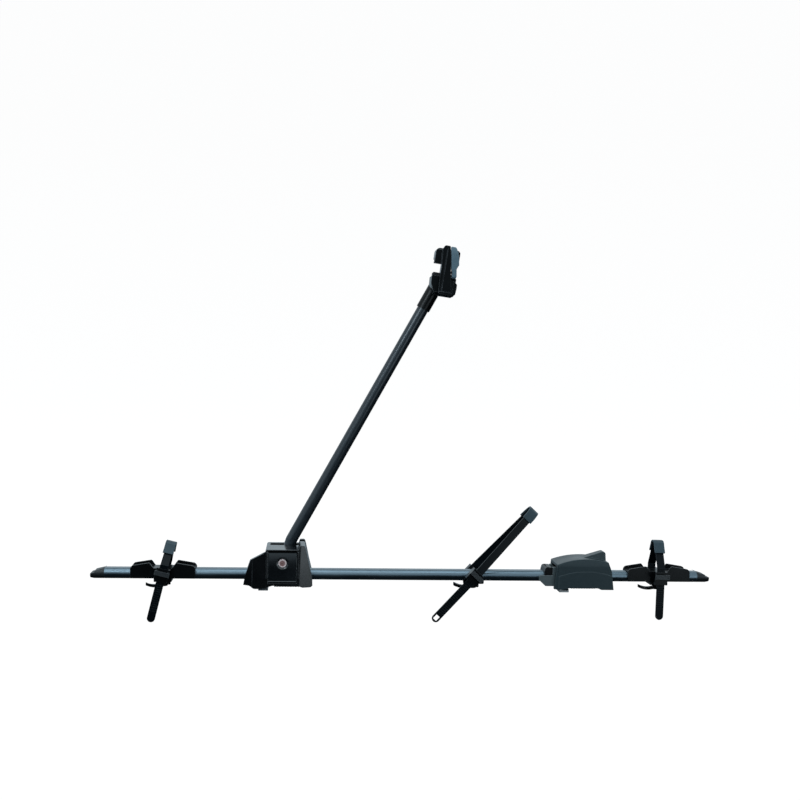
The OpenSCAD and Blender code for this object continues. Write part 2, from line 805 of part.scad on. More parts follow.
module head_body() {
    half = jaw_len / 2;
    bolt_in = 9;
    hinge_foot = knuckle_n - knuckle_r - 4;
    color("#161719") head_frame() difference() {
        union() {
            intersection() {
                along(-half - 1, half) polygon([
                    [-near_face + 6, -jaw_drop], [far_wall_out - 6, -jaw_drop], [far_wall_out, -jaw_drop + 6],
                    [far_wall_out, -pad_back], [-near_face, -pad_back], [-near_face, -jaw_drop + 6]
                ]);
                across(-near_face - over, far_wall_out + over) rounded([
                    [-half + 11, -jaw_drop, 6], [half, -jaw_drop, 4], [half, -pad_back, 3],
                    [-half - 1, -pad_back, 4], [-half, pivot_n - 6, 12]
                ]);
            }
            along(wall_x0, wall_x1) translate([far_wall_in, -pad_back - over])
                square([far_wall_out - far_wall_in, hinge_foot + pad_back + over]);
            for (x = [wall_x0, wall_x1 - knuckle_len]) {
                along(x, x + knuckle_len) polygon([
                    [far_wall_in, hinge_foot - 1], [far_wall_out, hinge_foot - 1],
                    [knuckle_y + knuckle_r, knuckle_n], [knuckle_y - knuckle_r, knuckle_n]
                ]);
                bar_x(knuckle_y, knuckle_n, x, x + knuckle_len, knuckle_r);
            }
            across(-near_face - 11, -near_face + 1) rounded(foot_outline);
        }
        bar_x(knuckle_y, knuckle_n, wall_x0 - over, wall_x1 + over, hook_pin_d / 2);
        bar_y(pivot_t, pivot_n, far_wall_out - bolt_in, far_wall_out + over, arm_bolt_d / 2);
        along(-half - 2 * over, half + over)
            translate([-near_face + 10, -jaw_drop - over]) square([far_wall_in + near_face - 16, 14]);
    }
}

module head_pivot_bolt() {
    head_h = 4;
    color("silver") {
        bar_y(head_pivot_x, head_pivot_z, far_wall_out - 8, arm_y + collar_half - 5, arm_bolt_d / 2 - 0.02);
        bar_y(head_pivot_x, head_pivot_z, arm_y + collar_half - 5 + 0.3, arm_y + collar_half - 5 + head_h,
              arm_bolt_d);
        bar_y(head_pivot_x, head_pivot_z, arm_y + collar_half - 6, arm_y + collar_half - 5 + head_h,
              arm_bolt_d / 2 - 0.02);
    }
}

// Rubber jaw liner with a round groove for the held tube; it lies on the jaw at z = -pad_back
module jaw_pad() {
    half = jaw_len / 2 - 2;
    width = held_r;
    difference() {
        along(-half, half) polygon([
            [-width, -pad_back], [width, -pad_back], [width, -pad_face], [-width, -pad_face]
        ]);
        bar_x(0, 0, -half - over, half + over, held_r);
    }
}

module lower_jaw_pad() {
    color("#0d0d0e") head_frame() jaw_pad();
}

module upper_jaw_pad() {
    color("#0d0d0e") head_frame() mirror([0, 0, 1]) jaw_pad();
}

module jaw_hook() {
    half = jaw_len / 2;
    knuckle_x0 = wall_x0 + knuckle_len + seat_fit;
    knuckle_x1 = wall_x1 - knuckle_len - seat_fit;
    lip = held_r - 7;
    seam_w = 1.2;
    color("#1a1b1e") head_frame() difference() {
        union() {
            intersection() {
                along(-half, half) polygon([
                    [-near_face - seat_fit, lip], [-held_r - 2, lip], [-held_r - 2, pad_back],
                    [far_wall_in - 2, pad_back], [far_wall_in - 2, jaw_rise - 8],
                    [far_wall_in - 12, jaw_rise], [-near_face + 4, jaw_rise],
                    [-near_face - seat_fit, jaw_rise - 4]
                ]);
                across(-near_face - over, far_wall_in) rounded([
                    [-half, lip, 2], [half, lip, 2], [half, jaw_rise, 8], [-half, jaw_rise, 10]
                ]);
            }
            along(knuckle_x0, knuckle_x1) polygon([
                [far_wall_in - 6, pad_back + 1], [knuckle_y, knuckle_n - knuckle_r],
                [knuckle_y, knuckle_n + knuckle_r], [far_wall_in - 8, jaw_rise - 7]
            ]);
            bar_x(knuckle_y, knuckle_n, knuckle_x0, knuckle_x1, knuckle_r);
            across(-near_face - slab_t, -near_face - seat_fit) rounded(slab_outline);
        }
        bar_x(knuckle_y, knuckle_n, -half, half, hook_pin_d / 2 + run_fit);
        bar_x(lever_y, lever_n, slab_x1 - 8, slab_x1 + 2 * over, lever_pin_r);
        across(-near_face - slab_t - over, -near_face - slab_t + 1.2) {
            translate([slab_x0 + 9, slab_bottom + 6]) square([seam_w, slab_top - slab_bottom - 12]);
            translate([slab_x0, slab_bottom + 6]) square([slab_len + 12, seam_w]);
        }
    }
}

module hook_hinge_pin() {
    color("silver") head_frame()
        bar_x(knuckle_y, knuckle_n, wall_x0 + 0.5, wall_x1 - 0.5, hook_pin_d / 2 - 0.01);
}

// Grey lever beside the slab: round at its pin, slightly bowed outwards to a thumb tip
module clamp_lever() {
    front = lever_y - lever_r;
    back = -near_face - seat_fit - 1;
    x0 = slab_x1 - 12;
    x1 = jaw_len / 2 + 1;
    color("#6c7784") head_frame() difference() {
        intersection() {
            union() {
                bar_x(lever_y, lever_n, x0, x1, lever_r);
                along(x0, x1) polygon([
                    [front, lever_n], [lever_y + lever_r, lever_n], [back - 3, lever_n + 14],
                    [back - 2, lever_tip - 12], [front + 5, lever_tip], [front + 1, lever_tip],
                    [front - 1.5, lever_tip - 14], [front - 1, lever_n + 20]
                ]);
            }
            across(front - 3, back + over) rounded(lever_outline);
        }
        bar_x(lever_y, lever_n, x0, x1 + over, lever_pin_r + run_fit);
    }
}

module lever_pin() {
    color("silver") head_frame() bar_x(lever_y, lever_n, slab_x1 - 7, jaw_len / 2 - 2.4, lever_pin_r - 0.01);
}

// Rear foot

roof_x = 6.7;
roof_h = fin_h - 15;
roof_r = 188;
band_drop = 28;
rear_outline = [
    [-rear_reach, -2, 0], [-42, -2, 10], [-34, 1.5, 10], [34, 1.5, 10], [42, -2, 10], [rear_tail, -2, 0],
    [rear_tail - 5, 40, 30], [rear_tail - 12.5, 62, 0], [rear_tail - 13, fin_h, 0],
    [-rear_reach + 10, fin_h, 0]
];
rear_section = [
    [-near_w + 1, -skirt_drop], [near_w - 1, -skirt_drop], [near_w - 1, 52], [near_w - 8, fin_h],
    [-near_w + 8, fin_h], [-near_w + 1, 52]
];
rear_plan = [
    [-rear_reach - over, -near_w + 8], [-rear_reach + 11, -near_w - over], [rear_tail + over, -near_w - over],
    [rear_tail + over, near_w + over], [-rear_reach + 11, near_w + over], [-rear_reach - over, near_w - 8]
];
fin_outline = [
    [-4, 40, 0], [rear_tail - 12.5, 40, 0], [rear_tail - 13.5, fin_h, 6], [rear_tail - 22.5, fin_h - 1.5, 12],
    [8, roof_h + 1, 0], [-4, roof_h - 4, 0]
];
fin_section = [[-21, 38], [21, 38], [13, fin_h + over], [-13, fin_h + over]];
plate_x0 = -rear_reach + 8;
rear_post_x = [-52, rear_tail - 18];
rear_post_y = near_in - 2.5;
post_r = 3.5;
peg_r = 2;
peg_h = 8;
nose_x = -rear_reach - 33;
nose_half = rail_half + 7;
nose_top = rail_z + 4;
cheek_top = rail_top + 11;
bridge_x = -rear_reach - 21;
bridge_len = 19;
bridge_screw_r = 1.5;

module rear_place() {
    translate([bar_spacing, 0, 0]) children();
}

module rear_posts(r, z0, z1) {
    for (x = rear_post_x, y = [-rear_post_y, rear_post_y]) bar_z(x, y, z0, z1, r);
}

module rear_screw_places() {
    for (s = [-1, 1]) translate([bridge_x + bridge_len / 2, s * (rail_half + nose_half + seat_fit) / 2, 0])
        children();
}

module rear_saddle() {
    color("#8f9a90") rear_place() difference() {
        union() {
            intersection() {
                foot_base(plate_x0, rear_tail - 12, -near_in + seat_fit, near_in - seat_fit, plate_x0 - 4,
                          rear_claw_x);
                upwards(0, shelf_z + shelf_t + over) polygon(inset(rear_plan, shell_wall + seat_fit));
            }
            rear_posts(peg_r, base_z, base_z + peg_h);
            difference() {
                across(-nose_half, nose_half) rounded([
                    [nose_x + 15, pad_t, 4], [plate_x0, pad_t, 0], [plate_x0, cheek_top, 4],
                    [bridge_x + bridge_len + 0.5, cheek_top, 2], [bridge_x + bridge_len + 0.5, nose_top, 0],
                    [nose_x, nose_top, 4], [nose_x, rail_z - 6, 4]
                ]);
                along(nose_x - over, plate_x0 + over) rail_bed();
                claw_room(rear_claw_x);
            }
        }
        rear_screw_places() translate([0, 0, rail_lift + 1]) cylinder(h = rail_h, r = bridge_screw_r);
    }
}

// Black bridge over the rail that ties the two sides of the rear clamp body together
module rear_rail_bridge() {
    high = rail_top + 10.4;
    color("#191a1b") rear_place() difference() {
        across(-nose_half, nose_half) rounded([
            [bridge_x, nose_top, 0], [bridge_x + bridge_len, nose_top, 0], [bridge_x + bridge_len, high, 2],
            [bridge_x + 3, high, 5], [bridge_x, nose_top + 8, 5]
        ]);
        along(bridge_x - over, bridge_x + bridge_len + over) {
            rail_oval(seat_fit);
            translate([-rail_half - seat_fit, 0]) square([rail_w + 2 * seat_fit, rail_z]);
        }
        rear_screw_places() translate([0, 0, rail_z]) cylinder(h = rail_h + 20, r = bridge_screw_r + 0.05);
        rear_screw_places() translate([0, 0, rail_top + 4]) cylinder(h = 20, r = 2 * bridge_screw_r + 0.05);
    }
}

module rear_bridge_screws() {
    color("silver") rear_place() rear_screw_places() {
        translate([0, 0, rail_lift + 2])
            cylinder(h = rail_top + 5 - rail_lift - 2, r = bridge_screw_r - 0.02);
        translate([0, 0, rail_top + 4]) cylinder(h = 3, r = 2 * bridge_screw_r);
    }
}

module rear_bar_pad() {
    color("#0e0e0e") rear_place() bar_pad();
}

// Circle of the arched roof line, lowered and shrunk
module roof_arch(drop, d) {
    translate([roof_x, roof_h - roof_r - drop]) circle(roof_r - d, $fn = 256);
}

// Arched body, proud lower band and fin of the rear cover
module rear_body() {
    intersection() {
        union() {
            intersection() {
                across(-near_w - over, near_w + over) intersection() {
                    rounded(rear_outline);
                    roof_arch(0, 0);
                }
                along(-rear_reach - over, rear_tail + over) polygon(rear_section);
            }
            across(-near_w, near_w) intersection() {
                rounded(rear_outline);
                roof_arch(band_drop, 0);
            }
            intersection() {
                across(-near_w, near_w) rounded(fin_outline);
                along(-rear_reach, rear_tail) polygon(fin_section);
            }
        }
        upwards(-skirt_drop, fin_h + over) polygon(rear_plan);
    }
}

// Room inside the rear cover, open below
module rear_room() {
    intersection() {
        across(-near_w, near_w) intersection() {
            polygon(inset(flat(rear_outline), shell_wall));
            roof_arch(0, shell_wall);
        }
        along(-rear_reach - over, rear_tail + over) polygon(inset(rear_section, shell_wall));
        upwards(-skirt_drop, fin_h + over) polygon(inset(rear_plan, shell_wall));
    }
    intersection() {
        across(-near_w, near_w) polygon(inset(flat(fin_outline), shell_wall));
        along(-rear_reach, rear_tail) polygon(inset(fin_section, shell_wall));
    }
    intersection() {
        block([-rear_reach + shell_wall, -near_in, -skirt_drop],
              [rear_tail - 2 * shell_wall, near_in, base_z + seat_fit]);
        upwards(-skirt_drop - over, base_z + over) polygon(inset(rear_plan, shell_wall));
    }
}

module rear_cover() {
    nose_gap = 3;
    color("#1d1e1f") rear_place() difference() {
        union() {
            difference() {
                rear_body();
                rear_room();
                block([-rear_reach - over, -nose_half - nose_gap, -skirt_drop],
                      [-rear_reach + 14, nose_half + nose_gap, cheek_top + nose_gap]);
                rail_way(-rear_reach - over, rear_tail + over);
            }
            rear_posts(post_r, base_z + seat_fit, 34);
        }
        rear_posts(peg_r + 0.1, 0, base_z + peg_h + over);
    }
}

module rear_claw() {
    color("#b9bcbd") rear_place() bar_claw(rear_claw_x);
}

module rear_clamp_bolt() {
    color("silver") rear_place() clamp_bolt();
}

module rear_clamp_knob() {
    color("#26282a") rear_place() clamp_knob();
}

// Strap units

// Side wall outline of a wheel cradle: two rounded wings with a low gap for the strap between them
function wing_outline(half, rise) = [
    [-half, rail_lift + 2.5, 0], [half, rail_lift + 2.5, 0], [half, rail_top + rise - 7, 9],
    [30, rail_top + rise, 4], [21, rail_top + 2, 0], [-21, rail_top + 2, 0], [-30, rail_top + rise, 4],
    [-half, rail_top + rise - 7, 9]
];
// Cheek outline of the middle saddle, which hangs under the rail
function saddle_outline(half) = [
    [-half, web_z, 3], [half, web_z, 3], [half, rail_lift + 3, 3],
    [trunnion_r + 2, rail_z + trunnion_r + 1, 5], [-trunnion_r - 2, rail_z + trunnion_r + 1, 5],
    [-half, rail_lift + 3, 3]
];

web_half = 20;
web_t = 5;
web_z = rail_lift - seat_fit - web_t;
key_screw_r = 3;

// Body that rides on the rail: two side walls of the given outline, a web below and trunnions
module rail_rider(outline) {
    inner = rail_half + seat_fit;
    difference() {
        union() {
            for (y = [-cradle_out, inner]) across(y, y + cradle_wall) rounded(outline);
            block([-web_half, -cradle_out, web_z], [web_half, cradle_out, web_z + web_t]);
            for (y = [-cradle_out, inner]) block([-web_half, y, web_z], [web_half, y + cradle_wall, rail_z]);
            bar_y(0, rail_z, -cradle_out - trunnion_len, -inner - over, trunnion_r);
            bar_y(0, rail_z, inner + over, cradle_out + trunnion_len, trunnion_r);
        }
        bar_z(0, 0, 0, rail_lift, key_screw_r + run_fit);
    }
}

// Wheel cradle: a rider with wings and a floor over the rail
module wheel_cradle() {
    half = cradle_len / 2;
    inner = rail_half + seat_fit;
    rail_rider(wing_outline(half, wing_rise));
    block([-half, -inner - over, rail_top + seat_fit], [half, inner + over, rail_top + 2]);
}

module front_cradle() {
    color("#151617") translate([front_strap_x, 0, 0]) wheel_cradle();
}

module middle_saddle() {
    color("#151617") translate([middle_strap_x, 0, 0]) rail_rider(saddle_outline(saddle_half));
}

module rear_cradle() {
    color("#151617") translate([rear_strap_x, 0, 0]) wheel_cradle();
}

// Frame of a strap: its origin is the rail's middle and z runs up the strap
module strap_frame(x, lean) {
    translate([x, 0, rail_z]) rotate([0, lean, 0]) children();
}

// Middle line of a strap: up the near leg, over the top and down to the anchor on the far side
crown = 9;
crown_run = 4;
crown_drop = 2;
shoulder = 12;
shoulder_run = 6;
leg_bend = 24;
leg_end = 9;
function strap_path(rise, tail) = [
    [-strap_leg, -tail], [-strap_leg, leg_bend], [-crown - shoulder_run, rise - shoulder],
    [-crown, rise - crown_drop], [-crown + crown_run, rise], [crown - crown_run, rise],
    [crown, rise - crown_drop], [crown + shoulder_run, rise - shoulder],
    [strap_leg, leg_bend], [strap_leg, -leg_end]
];

// Ladder strap with a rounded tail and shallow teeth on the outside of its near leg
module ladder_strap(rise, tail, eye) {
    tooth_pitch = 5;
    tooth_d = 0.8;
    tooth_w = 2.2;
    outside = -strap_leg - strap_t / 2;
    eye_w = strap_w - 8;
    eye_l = 12;
    difference() {
        translate([-strap_w / 2, 0, 0]) along(0, strap_w)
            polygon(band(strap_path(rise, tail), -strap_t / 2, strap_t / 2));
        difference() {
            block([-strap_w, outside - over, -tail - over],
                  [strap_w, outside + strap_t + over, -tail + strap_w / 2]);
            bar_y(0, -tail + strap_w / 2, outside - 2 * over, outside + strap_t + 2 * over, strap_w / 2);
        }
        for (s = [-tail + 26 : tooth_pitch : -buckle_down - 4])
            block([-strap_w / 2 + 3, outside - over, s], [strap_w / 2 - 3, outside + tooth_d, s + tooth_w]);
        if (eye)
            block([-eye_w / 2, outside - over, -tail + 5],
                  [eye_w / 2, outside + strap_t + over, -tail + 5 + eye_l]);
    }
}

// Soft pad over the crown of a strap
module rim_pad(rise) {
    pad_wall = 4;
    pad_reach = 13;
    path = strap_path(rise, 0);
    slope = (path[2] - path[1]) / norm(path[2] - path[1]);
    top = concat([path[2] - slope * pad_reach], [for (i = [2 : 7]) path[i]],
                 [[-path[2].x + slope.x * pad_reach, path[2].y - slope.y * pad_reach]]);
    inside = strap_t / 2 + 0.2;
    translate([-rim_pad_w / 2, 0, 0]) along(0, rim_pad_w) polygon(band(top, inside + pad_wall, inside));
}

// Buckle on the near trunnion: a block with a slot for the strap and two ears for the pawl
module buckle() {
    back = -cradle_out - seat_fit;
    front = -strap_leg - strap_t / 2 - 3;
    slot = strap_t / 2 + seat_fit;
    difference() {
        union() {
            block([-buckle_half, front, -buckle_down], [buckle_half, back, buckle_up]);
            for (x = [-buckle_half, buckle_half - 4]) {
                block([x, pawl_y - 1, pawl_s - 5], [x + 4, front + over, pawl_s + 5]);
                bar_x(pawl_y, pawl_s, x, x + 4, 4);
            }
        }
        bar_y(0, 0, -cradle_out - trunnion_len - seat_fit, back + over, trunnion_r + run_fit);
        block([-strap_w / 2 - seat_fit, -strap_leg - slot, -buckle_down - over],
              [strap_w / 2 + seat_fit, -strap_leg + slot, buckle_up + over]);
        bar_x(pawl_y, pawl_s, -buckle_half - over, buckle_half + over, pawl_pin_r + run_fit);
    }
}

// Anchor on the far trunnion: holds the end of the strap in a slot
module anchor() {
    back = cradle_out + seat_fit;
    front = strap_leg + strap_t / 2 + 3;
    slot = strap_t / 2 + 0.1;
    half = strap_w / 2 + 4;
    difference() {
        block([-half, back, -12], [half, front, 14]);
        bar_y(0, 0, back - over, cradle_out + trunnion_len + seat_fit, trunnion_r + run_fit);
        block([-strap_w / 2 - 0.1, strap_leg - slot, -leg_end - 0.2],
              [strap_w / 2 + 0.1, strap_leg + slot, 14 + over]);
    }
}

// Pawl between the buckle's ears, with a wide thumb tab in front
module pawl() {
    inner = buckle_half - 4 - seat_fit;
    tab_half = buckle_half + 2;
    bar_x(pawl_y, pawl_s, -buckle_half, buckle_half, pawl_pin_r);
    bar_x(pawl_y, pawl_s, -inner, inner, pawl_r);
    block([-inner, pawl_y - 6, pawl_s - 2], [inner, pawl_y, pawl_s + 2]);
    block([-tab_half, pawl_y - 8, pawl_s - 5], [tab_half, pawl_y - 5, pawl_s + 5]);
}

// Clamp key under a rail rider: hub, bowed long arm, short arm and the screw that presses on the rail
module clamp_key(turn) {
    hub_r = 9;
    arm_w = 11;
    arm_t = 6.5;
    bow_r = 54;
    low = web_z - 12.5;
    high = web_z - 0.4;
    short_len = 15;
    rotate(turn) {
        bar_z(0, 0, low, high, hub_r);
        intersection() {
            across(-arm_w / 2, arm_w / 2) difference() {
                translate([-20, low - 1.5 + bow_r]) circle(bow_r);
                translate([-20, low - 1.5 + bow_r]) circle(bow_r - arm_t);
            }
            union() {
                block([-key_len + arm_w / 2, -arm_w, low - 5], [0, arm_w, high]);
                bar_z(-key_len + arm_w / 2, 0, low - 5, high, arm_w / 2);
            }
        }
        block([0, -arm_w / 2, low + 2], [short_len, arm_w / 2, high - 1]);
        bar_z(0, 0, high - over, rail_lift - 0.4, key_screw_r);
    }
}

strap_color = "#272b31";
pad_color = "#4a5058";
buckle_color = "#141516";
pawl_color = "#9ba0a4";
key_color = "#1c1d1f";

module front_strap() {
    color(strap_color) strap_frame(front_strap_x, front_lean) ladder_strap(front_rise, front_tail_len, false);
}

module front_rim_pad() {
    color(pad_color) strap_frame(front_strap_x, front_lean) rim_pad(front_rise);
}

module front_buckle() {
    color(buckle_color) strap_frame(front_strap_x, front_lean) buckle();
}

module front_anchor() {
    color(buckle_color) strap_frame(front_strap_x, front_lean) anchor();
}

module front_pawl() {
    color(pawl_color) strap_frame(front_strap_x, front_lean) pawl();
}

module front_clamp_key() {
    color(key_color) translate([front_strap_x, 0, 0]) clamp_key(front_key_turn);
}

module middle_strap() {
    color(strap_color) strap_frame(middle_strap_x, middle_lean)
        ladder_strap(middle_rise, middle_tail_len, true);
}

module middle_rim_pad() {
    color(pad_color) strap_frame(middle_strap_x, middle_lean) rim_pad(middle_rise);
}

module middle_buckle() {
    color(buckle_color) strap_frame(middle_strap_x, middle_lean) buckle();
}

module middle_anchor() {
    color(buckle_color) strap_frame(middle_strap_x, middle_lean) anchor();
}

module middle_pawl() {
    color(pawl_color) strap_frame(middle_strap_x, middle_lean) pawl();
}

module middle_clamp_key() {
    color(key_color) translate([middle_strap_x, 0, 0]) clamp_key(middle_key_turn);
}

module rear_strap() {
    color(strap_color) strap_frame(rear_strap_x, rear_lean) ladder_strap(rear_rise, rear_tail_len, false);
}

module rear_rim_pad() {
    color(pad_color) strap_frame(rear_strap_x, rear_lean) rim_pad(rear_rise);
}

module rear_buckle() {
    color(buckle_color) strap_frame(rear_strap_x, rear_lean) buckle();
}

module rear_anchor() {
    color(buckle_color) strap_frame(rear_strap_x, rear_lean) anchor();
}

module rear_pawl() {
    color(pawl_color) strap_frame(rear_strap_x, rear_lean) pawl();
}

module rear_clamp_key() {
    color(key_color) translate([rear_strap_x, 0, 0]) clamp_key(rear_key_turn);
}

rail();
front_end_cap();
rear_end_cap();
front_foot_shell();
front_access_door();
front_door_pin();
front_lock_ring();
front_lock_plug();
front_saddle();
front_bar_pad();
front_foot_screws();
front_claw();
front_clamp_bolt();
front_clamp_knob();
arm_bracket();
arm_pivot_bolt();
arm_bushes();
arm_root();
arm_tube();
arm_collar();
head_body();
head_pivot_bolt();
lower_jaw_pad();
jaw_hook();
upper_jaw_pad();
hook_hinge_pin();
clamp_lever();
lever_pin();
rear_saddle();
rear_rail_bridge();
rear_bar_pad();
rear_bridge_screws();
rear_cover();
rear_claw();
rear_clamp_bolt();
rear_clamp_knob();
front_cradle();
front_strap();
front_rim_pad();
front_buckle();
front_anchor();
front_pawl();
front_clamp_key();
middle_saddle();
middle_strap();
middle_rim_pad();
middle_buckle();
middle_anchor();
middle_pawl();
middle_clamp_key();
rear_cradle();
rear_strap();
rear_rim_pad();
rear_buckle();
rear_anchor();
rear_pawl();
rear_clamp_key();
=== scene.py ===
"""Looks of a roof mounted bike carrier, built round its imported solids. Lengths are metres."""

import json
import math

import bmesh
import bpy
from mathutils import Matrix, Vector
from mathutils.bvhtree import BVHTree

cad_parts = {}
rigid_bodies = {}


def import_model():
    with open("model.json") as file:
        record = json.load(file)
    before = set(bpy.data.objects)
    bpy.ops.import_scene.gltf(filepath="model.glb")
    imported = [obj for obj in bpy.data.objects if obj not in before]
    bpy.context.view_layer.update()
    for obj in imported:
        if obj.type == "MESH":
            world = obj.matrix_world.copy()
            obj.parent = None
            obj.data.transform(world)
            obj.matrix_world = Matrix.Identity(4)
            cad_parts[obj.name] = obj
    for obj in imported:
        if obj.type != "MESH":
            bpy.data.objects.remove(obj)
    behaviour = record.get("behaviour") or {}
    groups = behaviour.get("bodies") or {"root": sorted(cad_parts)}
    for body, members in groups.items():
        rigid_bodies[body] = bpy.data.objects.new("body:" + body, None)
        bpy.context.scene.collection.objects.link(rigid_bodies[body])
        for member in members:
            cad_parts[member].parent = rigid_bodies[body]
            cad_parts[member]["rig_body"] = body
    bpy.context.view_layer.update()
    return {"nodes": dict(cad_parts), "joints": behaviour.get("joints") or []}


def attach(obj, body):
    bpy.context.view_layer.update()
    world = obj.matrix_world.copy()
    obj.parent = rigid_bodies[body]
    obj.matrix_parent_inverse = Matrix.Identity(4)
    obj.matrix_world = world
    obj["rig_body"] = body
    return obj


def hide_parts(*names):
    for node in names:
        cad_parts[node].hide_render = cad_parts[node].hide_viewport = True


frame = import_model()


# Studio: a round pale floor that sweeps up all round, a pale sky, one large soft light above and two beside
# the camera. The carrier hangs clear of the floor, as its roof bars would hold it. Only the camera sees the
# floor, so it throws no light on the carrier.

view_yaw = math.radians(4.0)
view_pitch = math.radians(-1.8)
view_roll = math.radians(1.05)
view_distance = 3.0
view_target = Vector((0.2527, 0.0, 0.4265))
view_lens = 58.7
sensor_width = 36.0

ahead = Vector((
    math.sin(view_yaw) * math.cos(view_pitch),
    math.cos(view_yaw) * math.cos(view_pitch),
    math.sin(view_pitch),
))
level = Vector((math.cos(view_yaw), -math.sin(view_yaw), 0.0))
upright = level.cross(ahead)
right = level * math.cos(view_roll) + upright * math.sin(view_roll)
top = upright * math.cos(view_roll) - level * math.sin(view_roll)
view_turn = Matrix((right, top, -ahead)).transposed().to_4x4()
camera = bpy.data.objects.new("camera", bpy.data.cameras.new("camera"))
camera.data.lens = view_lens
camera.data.sensor_width = sensor_width
camera.matrix_world = Matrix.Translation(view_target - ahead * view_distance) @ view_turn
bpy.context.scene.collection.objects.link(camera)
bpy.context.scene.camera = camera
bpy.context.scene.view_settings.view_transform = "Standard"


def spin_section(shape, section, foot, steps, rise=1):
    """Spins a half section, given as radii and heights, about the upright line through a foot point."""
    points = [shape.verts.new(foot + Vector((r, 0, rise * z))) for r, z in section]
    lines = [shape.edges.new(pair) for pair in zip(points, points[1:])]
    bmesh.ops.spin(
        shape, geom=[*points, *lines], cent=foot, axis=(0, 0, 1), angle=math.tau, steps=steps, use_merge=True
    )


def close_up(shape, weld):
    """Joins the doubled points of a shape and turns its faces outwards."""
    bmesh.ops.remove_doubles(shape, verts=shape.verts, dist=weld)
    bmesh.ops.recalc_face_normals(shape, faces=shape.faces)


def object_from(name, shape, material):
    """Object of one material, made from a shape that is used up."""
    mesh = bpy.data.meshes.new(name)
    shape.to_mesh(mesh)
    shape.free()
    mesh.materials.append(material)
    made = bpy.data.objects.new(name, mesh)
    bpy.context.scene.collection.objects.link(made)
    return made


paper = bpy.data.materials.new("floor_paper")
paper.use_nodes = True
paper_shader = paper.node_tree.nodes["Principled BSDF"]
paper_shader.inputs["Base Color"].default_value = (0.05, 0.05, 0.05, 1)
paper_shader.inputs["Roughness"].default_value = 0.9
paper_shader.inputs["Emission Color"].default_value = (1, 1, 1, 1)
paper_shader.inputs["Emission Strength"].default_value = 0.96

floor_z = -0.105
floor_radius = 5.5
floor_sides = 64
bend_radius = 2.5
bend_steps = 10
wall_height = 6.0
bends = [math.radians(90) * i / bend_steps for i in range(bend_steps + 1)]
floor_section = [
    (0, 0),
    *((floor_radius + bend_radius * math.sin(a), bend_radius * (1 - math.cos(a))) for a in bends),
    (floor_radius + bend_radius, bend_radius + wall_height),
]
sweep = bmesh.new()
spin_section(sweep, floor_section, Vector((0, 0, floor_z)), floor_sides)
close_up(sweep, weld=1e-5)
for face in sweep.faces:
    face.smooth = True
floor = object_from("floor", sweep, paper)
floor.visible_glossy = False
floor.visible_diffuse = False

sky_lean = (0, 0.08, 1)
sky_strength = 0.85
sky_stops = [
    (0.445, (0.02, 0.025, 0.03)),
    (0.53, (0.46, 0.59, 0.68)),
    (0.72, (0.84, 0.95, 1.0)),
    (1.0, (0.40, 0.46, 0.50)),
]
world = bpy.data.worlds.new("studio")
world.use_nodes = True
bpy.context.scene.world = world
sky = world.node_tree.nodes
sky_links = world.node_tree.links
sky_place = sky.new("ShaderNodeTexCoord")
sky_rise = sky.new("ShaderNodeVectorMath")
sky_rise.operation = "DOT_PRODUCT"
sky_rise.inputs[1].default_value = sky_lean
sky_half = sky.new("ShaderNodeMapRange")
sky_half.inputs["From Min"].default_value = -1.0
sky_ramp = sky.new("ShaderNodeValToRGB")
sky_marks = sky_ramp.color_ramp.elements
sky_marks.remove(sky_marks[1])
sky_marks[0].position = sky_stops[0][0]
sky_marks[0].color = (*sky_stops[0][1], 1)
for position, tone in sky_stops[1:]:
    sky_marks.new(position).color = (*tone, 1)
sky_links.new(sky_place.outputs["Generated"], sky_rise.inputs[0])
sky_links.new(sky_rise.outputs["Value"], sky_half.inputs["Value"])
sky_links.new(sky_half.outputs["Result"], sky_ramp.inputs["Fac"])
sky_links.new(sky_ramp.outputs["Color"], sky["Background"].inputs["Color"])
sky["Background"].inputs["Strength"].default_value = sky_strength

lamp_tint = (0.80, 0.93, 1.0)


def soft_light(name, place, aim, size, power):
    """Square soft light that shines from a place to an aim."""
    lamp = bpy.data.lights.new(name, "AREA")
    lamp.size = size
    lamp.energy = power
    lamp.color = lamp_tint
    light = bpy.data.objects.new(name, lamp)
    light.location = place
    light.rotation_euler = (Vector(aim) - Vector(place)).to_track_quat("-Z", "Y").to_euler()
    bpy.context.scene.collection.objects.link(light)


soft_light("overhead_light", place=(0.1, -0.4, 2.6), aim=(0.25, 0.0, 0.1), size=2.2, power=24.0)
soft_light("left_light", place=(-1.5, -2.2, 2.3), aim=(0.2, 0.0, 0.3), size=1.2, power=28.0)
soft_light("right_light", place=(2.0, -2.7, 0.12), aim=(0.3, 0.0, 0.08), size=1.4, power=9.0)


# Rail: flat oval steel tube, roll formed and powder coated in a metallic blue grey. Both ends are closed by
# moulded plugs that slope down to a small nub. The plugs are pressed into the tube.

edge_mark = "edge"
flat_angle = math.radians(0.5)
crisp_angle = math.radians(28)
sharp_angle = math.radians(40)


def cad_shape(node, weld=2e-6):
    """A CAD node's mesh as a closed shape with its flat faces whole."""
    shape = bmesh.new()
    shape.from_mesh(frame["nodes"][node].data)
    bmesh.ops.remove_doubles(shape, verts=shape.verts, dist=weld)
    bmesh.ops.dissolve_limit(shape, angle_limit=flat_angle, verts=shape.verts, edges=shape.edges)
    return shape


